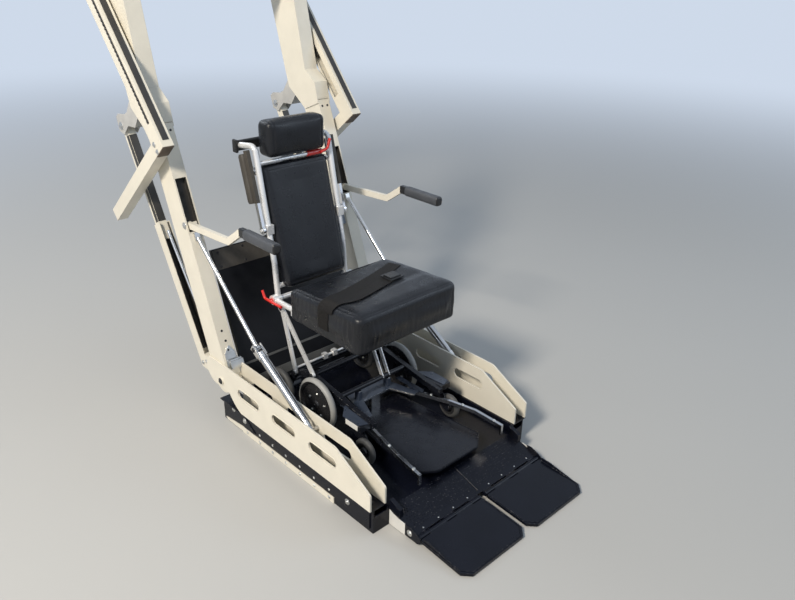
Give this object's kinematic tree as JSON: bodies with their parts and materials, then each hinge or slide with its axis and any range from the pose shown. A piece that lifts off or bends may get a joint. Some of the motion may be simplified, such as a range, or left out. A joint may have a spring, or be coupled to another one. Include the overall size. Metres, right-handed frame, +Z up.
{
  "type": "aircraft wheelchair lift",
  "caption": "Inclined rail lift for boarding a seated passenger: fixed slotted rails, a sliding mast with a folding platform, ramp flaps, handrails and a padded aisle chair",
  "frame": {"origin": "middle of the platform at floor level, where the cross rib under the deck stands on the floor", "axes": "+X to the right seen from the front, +Y from the ramp flaps towards the door sill, +Z up"},
  "size_m": [0.816, 2.8, 2.7819],
  "materials": {
    "cream_alloy": "warm cream powder coat on alloy profile",
    "cream_paint": "warm cream powder coat on steel",
    "grey_paint": "dark grey satin coat on alloy",
    "black_paint": "glossy black powder coat, lightly textured",
    "black_alloy": "black powder coat on alloy sheet",
    "bright_steel": "bright plated steel",
    "silver_tube": "satin silver tube",
    "slide_plastic": "black sliding plastic",
    "box_plastic": "blue-grey moulded box",
    "black_plastic": "black moulded plate, fine texture",
    "grip_rubber": "dark grey foam rubber",
    "wheel_tyre": "grey non-marking tyre on a dark disc",
    "black_vinyl": "black vinyl upholstery, soft sheen",
    "red_paint": "glossy red coat"
  },
  "bodies": {
    "rails": {"rail_left": "cream_alloy", "rail_right": "cream_alloy", "stand_leg_left": "cream_alloy", "stand_leg_right": "cream_alloy", "sill_leg_left": "cream_alloy", "sill_leg_right": "cream_alloy", "sill_beam": "cream_alloy"},
    "mast": {"carriage_left": "slide_plastic", "carriage_right": "slide_plastic", "post_left": "cream_alloy", "post_right": "cream_alloy", "head_sleeve_left": "cream_alloy", "head_sleeve_right": "cream_alloy", "head_bracket_left": "grey_paint", "head_bracket_right": "grey_paint", "head_crossbar": "cream_alloy", "fold_link_left": "cream_alloy", "fold_link_right": "cream_alloy", "knee_stay_left": "bright_steel", "knee_stay_right": "bright_steel", "outer_plate_left": "cream_paint", "outer_plate_right": "cream_paint", "inner_plate_left": "cream_paint", "inner_plate_right": "cream_paint", "brace_upper_left": "bright_steel", "brace_upper_right": "bright_steel", "brace_lower_left": "black_paint", "brace_lower_right": "black_paint", "control_box": "box_plastic", "deck_tray": "black_paint", "side_strip_left": "cream_paint", "side_strip_right": "cream_paint", "ramp_nose": "black_paint", "side_curb_left": "cream_paint", "side_curb_right": "cream_paint", "chair_frame": "silver_tube", "seat_cushion": "black_vinyl", "back_cushion": "black_vinyl", "headrest": "black_vinyl", "legrest": "bright_steel", "footplate": "black_plastic", "chair_base": "black_alloy", "seat_lever": "red_paint"},
    "bridge": {"bridge_plate": "black_alloy"},
    "flap_left": {"flap_left": "black_paint"},
    "flap_right": {"flap_right": "black_paint"},
    "handrail_left": {"handrail_left": "cream_alloy", "handrail_grip_left": "grip_rubber"},
    "handrail_right": {"handrail_right": "cream_alloy", "handrail_grip_right": "grip_rubber"},
    "armrest_left": {"armrest_left": "silver_tube", "arm_pad_left": "grip_rubber"},
    "armrest_right": {"armrest_right": "silver_tube", "arm_pad_right": "grip_rubber"},
    "mid_wheel_left": {"mid_wheel_left": "wheel_tyre"},
    "mid_wheel_right": {"mid_wheel_right": "wheel_tyre"},
    "rear_wheel_left": {"rear_wheel_left": "wheel_tyre"},
    "rear_wheel_right": {"rear_wheel_right": "wheel_tyre"},
    "front_wheel_left": {"front_wheel_left": "wheel_tyre"},
    "front_wheel_right": {"front_wheel_right": "wheel_tyre"}
  },
  "joints": [
    {"name": "lift_slide", "type": "slide", "parent": "rails", "child": "mast", "axis": [0, 0.6428, 0.766], "range_m": [0, 1.83]},
    {"name": "bridge_fold", "type": "hinge", "parent": "mast", "child": "bridge", "pos_m": [0, 0.414, 0.072], "axis": [-1, 0, 0], "range_deg": [0, 64]},
    {"name": "flap_left_raise", "type": "hinge", "parent": "mast", "child": "flap_left", "pos_m": [-0.145, -0.45, 0.02], "axis": [-1, 0, 0], "range_deg": [0, 98]},
    {"name": "flap_right_raise", "type": "hinge", "parent": "mast", "child": "flap_right", "pos_m": [0.145, -0.45, 0.02], "axis": [-1, 0, 0], "range_deg": [0, 98]},
    {"name": "handrail_left_fold", "type": "hinge", "parent": "mast", "child": "handrail_left", "pos_m": [-0.337, 0.613, 0.695], "axis": [-1, 0, 0], "range_deg": [0, 86]},
    {"name": "handrail_right_fold", "type": "hinge", "parent": "mast", "child": "handrail_right", "pos_m": [0.337, 0.613, 0.695], "axis": [-1, 0, 0], "range_deg": [0, 86]},
    {"name": "armrest_left_fold", "type": "hinge", "parent": "mast", "child": "armrest_left", "pos_m": [-0.173, 0.419, 0.69], "axis": [1, 0, 0], "range_deg": [0, 106]},
    {"name": "armrest_right_fold", "type": "hinge", "parent": "mast", "child": "armrest_right", "pos_m": [0.173, 0.419, 0.69], "axis": [1, 0, 0], "range_deg": [0, 106]},
    {"name": "mid_wheel_left_spin", "type": "hinge", "parent": "mast", "child": "mid_wheel_left", "pos_m": [-0.188, 0.129, 0.1553], "axis": [1, 0, 0], "continuous": true},
    {"name": "mid_wheel_right_spin", "type": "hinge", "parent": "mast", "child": "mid_wheel_right", "pos_m": [0.188, 0.129, 0.1553], "axis": [1, 0, 0], "continuous": true},
    {"name": "rear_wheel_left_spin", "type": "hinge", "parent": "mast", "child": "rear_wheel_left", "pos_m": [-0.188, 0.338, 0.1303], "axis": [1, 0, 0], "continuous": true},
    {"name": "rear_wheel_right_spin", "type": "hinge", "parent": "mast", "child": "rear_wheel_right", "pos_m": [0.188, 0.338, 0.1303], "axis": [1, 0, 0], "continuous": true},
    {"name": "front_wheel_left_spin", "type": "hinge", "parent": "mast", "child": "front_wheel_left", "pos_m": [-0.195, -0.123, 0.1053], "axis": [1, 0, 0], "continuous": true},
    {"name": "front_wheel_right_spin", "type": "hinge", "parent": "mast", "child": "front_wheel_right", "pos_m": [0.195, -0.123, 0.1053], "axis": [1, 0, 0], "continuous": true}
  ]
}
